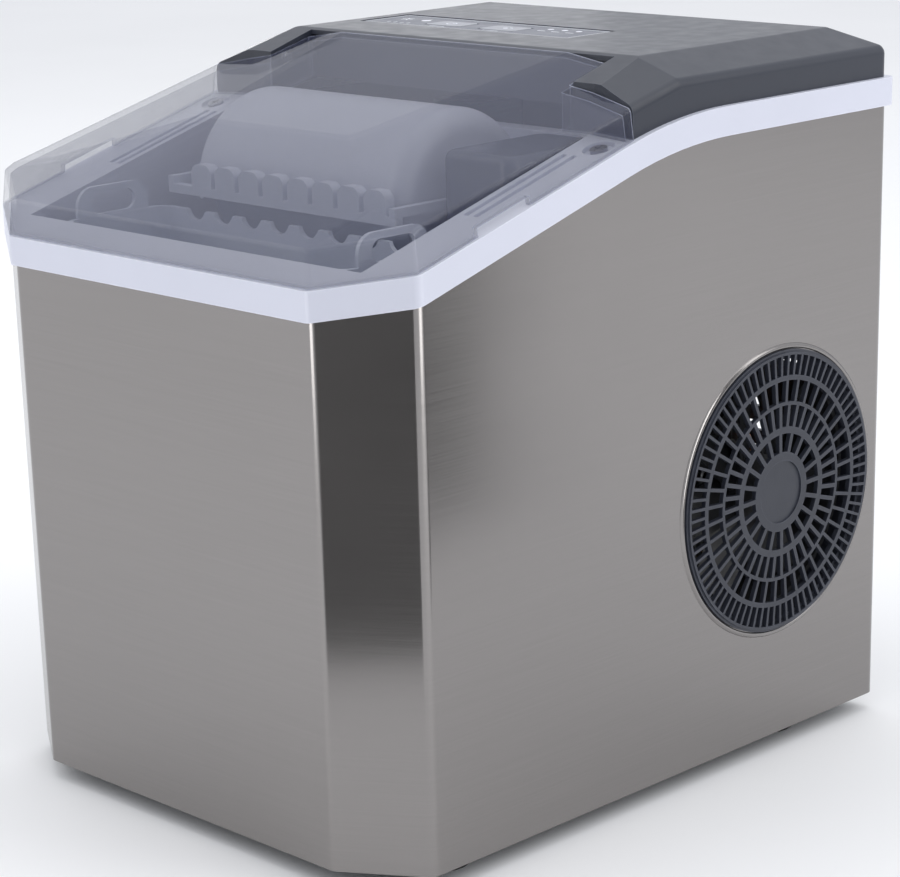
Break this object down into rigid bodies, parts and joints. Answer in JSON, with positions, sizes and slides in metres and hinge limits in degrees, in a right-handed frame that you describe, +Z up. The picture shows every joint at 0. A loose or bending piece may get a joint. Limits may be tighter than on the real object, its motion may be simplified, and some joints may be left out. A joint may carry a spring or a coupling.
{
  "type": "countertop ice maker",
  "caption": "Countertop bullet-ice maker: brushed steel body with cut front corners, smoked clear hinged lid, dark bevelled rear cover and round side grille.",
  "frame": {"origin": "middle of the footprint at floor level", "axes": "+Z up; the front with the lid faces -Y; the fan outlet grille is on the +X side"},
  "size_m": [0.2444, 0.2998, 0.297],
  "materials": {
    "foot_rubber": "matt moulded rubber",
    "base_plastic": "fine moulded texture",
    "wrap_steel": "brushed along the sheet, clear satin",
    "rear_plastic": "semi-gloss coating",
    "screw_steel": "bright plated metal",
    "gland_rubber": "matt moulded rubber",
    "grille_plastic": "fine moulded texture",
    "frame_plastic": "smooth satin moulding",
    "cover_plastic": "fine moulded texture",
    "film_plastic": "smooth satin moulding",
    "key_plastic": "smooth satin moulding",
    "board_green": "fine moulded texture",
    "lid_clear": "smoked clear plastic, polished",
    "pin_steel": "bright plated metal",
    "liner_plastic": "smooth satin moulding",
    "foam_white": "fine moulded texture",
    "basket_plastic": "smooth satin moulding",
    "evaporator_metal": "bright plated metal",
    "tray_plastic": "smooth satin moulding",
    "shaft_steel": "bright plated metal",
    "motor_metal": "semi-gloss coating",
    "shovel_plastic": "smooth satin moulding",
    "sensor_plastic": "smooth satin moulding",
    "pump_plastic": "fine moulded texture",
    "hose_silicone": "matt moulded rubber",
    "pipe_plastic": "fine moulded texture",
    "plug_plastic": "fine moulded texture",
    "compressor_paint": "semi-gloss coating",
    "copper": "drawn tube, slightly tarnished",
    "fin_aluminium": "bright rolled aluminium",
    "shroud_plastic": "fine moulded texture",
    "fan_plastic": "fine moulded texture",
    "valve_metal": "drawn tube, slightly tarnished",
    "shelf_metal": "brushed along the sheet, clear satin"
  },
  "bodies": {
    "housing": {"feet": "foot_rubber", "base_pan": "base_plastic", "steel_wrap": "wrap_steel", "rear_panel": "rear_plastic", "rear_panel_screws": "screw_steel", "cord_gland": "gland_rubber", "fan_grille": "grille_plastic", "intake_grille": "grille_plastic", "top_frame": "frame_plastic", "frame_screws": "screw_steel", "top_cover": "cover_plastic", "control_film": "film_plastic", "display_board": "board_green", "liner": "liner_plastic", "insulation": "foam_white", "evaporator": "evaporator_metal", "evaporator_cover": "liner_plastic", "motor_housing": "liner_plastic", "tray_motor": "motor_metal", "full_sensor": "sensor_plastic", "water_pump": "pump_plastic", "pump_hose": "hose_silicone", "drain_pipe": "pipe_plastic", "compressor": "compressor_paint", "compressor_grommets": "foot_rubber", "condenser_coil": "copper", "condenser_fins": "fin_aluminium", "fan_shroud": "shroud_plastic", "fan_motor": "motor_metal", "filter_drier": "copper", "hot_gas_valve": "valve_metal", "copper_pipes": "copper", "board_shelf": "shelf_metal", "main_board": "board_green"},
    "lid": {"lid": "lid_clear", "lid_pins": "pin_steel"},
    "basket": {"ice_basket": "basket_plastic"},
    "tray": {"water_tray": "tray_plastic", "drive_shaft": "shaft_steel"},
    "shovel": {"ice_shovel": "shovel_plastic"},
    "fan": {"fan_blade": "fan_plastic"},
    "power_button": {"power_key": "key_plastic"},
    "select_button": {"select_key": "key_plastic"},
    "plug": {"drain_plug": "plug_plastic"}
  },
  "joints": [
    {"name": "lid_hinge", "type": "hinge", "parent": "housing", "child": "lid", "pos_m": [0, -0.002, 0.2865], "axis": [-1, 0, 0], "range_deg": [0, 108]},
    {"name": "basket_lift", "type": "slide", "parent": "housing", "child": "basket", "axis": [0, 0, 1], "range_m": [0, 0.007]},
    {"name": "tray_tilt", "type": "hinge", "parent": "housing", "child": "tray", "pos_m": [0, -0.028, 0.24], "axis": [1, 0, 0], "range_deg": [0, 75]},
    {"name": "shovel_slide", "type": "slide", "parent": "housing", "child": "shovel", "axis": [0, -1, 0], "range_m": [0, 0.04]},
    {"name": "fan_spin", "type": "hinge", "parent": "housing", "child": "fan", "pos_m": [0.1025, 0.077, 0.1147], "axis": [1, 0, 0], "continuous": true},
    {"name": "power_press", "type": "slide", "parent": "housing", "child": "power_button", "axis": [0, 0, -1], "range_m": [0, 0.0006], "stiffness_N_per_m": 900, "springref_m": -0.0002},
    {"name": "select_press", "type": "slide", "parent": "housing", "child": "select_button", "axis": [0, 0, -1], "range_m": [0, 0.0006], "stiffness_N_per_m": 900, "springref_m": -0.0002},
    {"name": "plug_pull", "type": "slide", "parent": "housing", "child": "plug", "axis": [-1, 0, 0], "range_m": [0, 0.03]}
  ],
  "couplings": [
    {"joint": "shovel_slide", "follows": "tray_tilt", "m_per_rad": 0.0305}
  ]
}
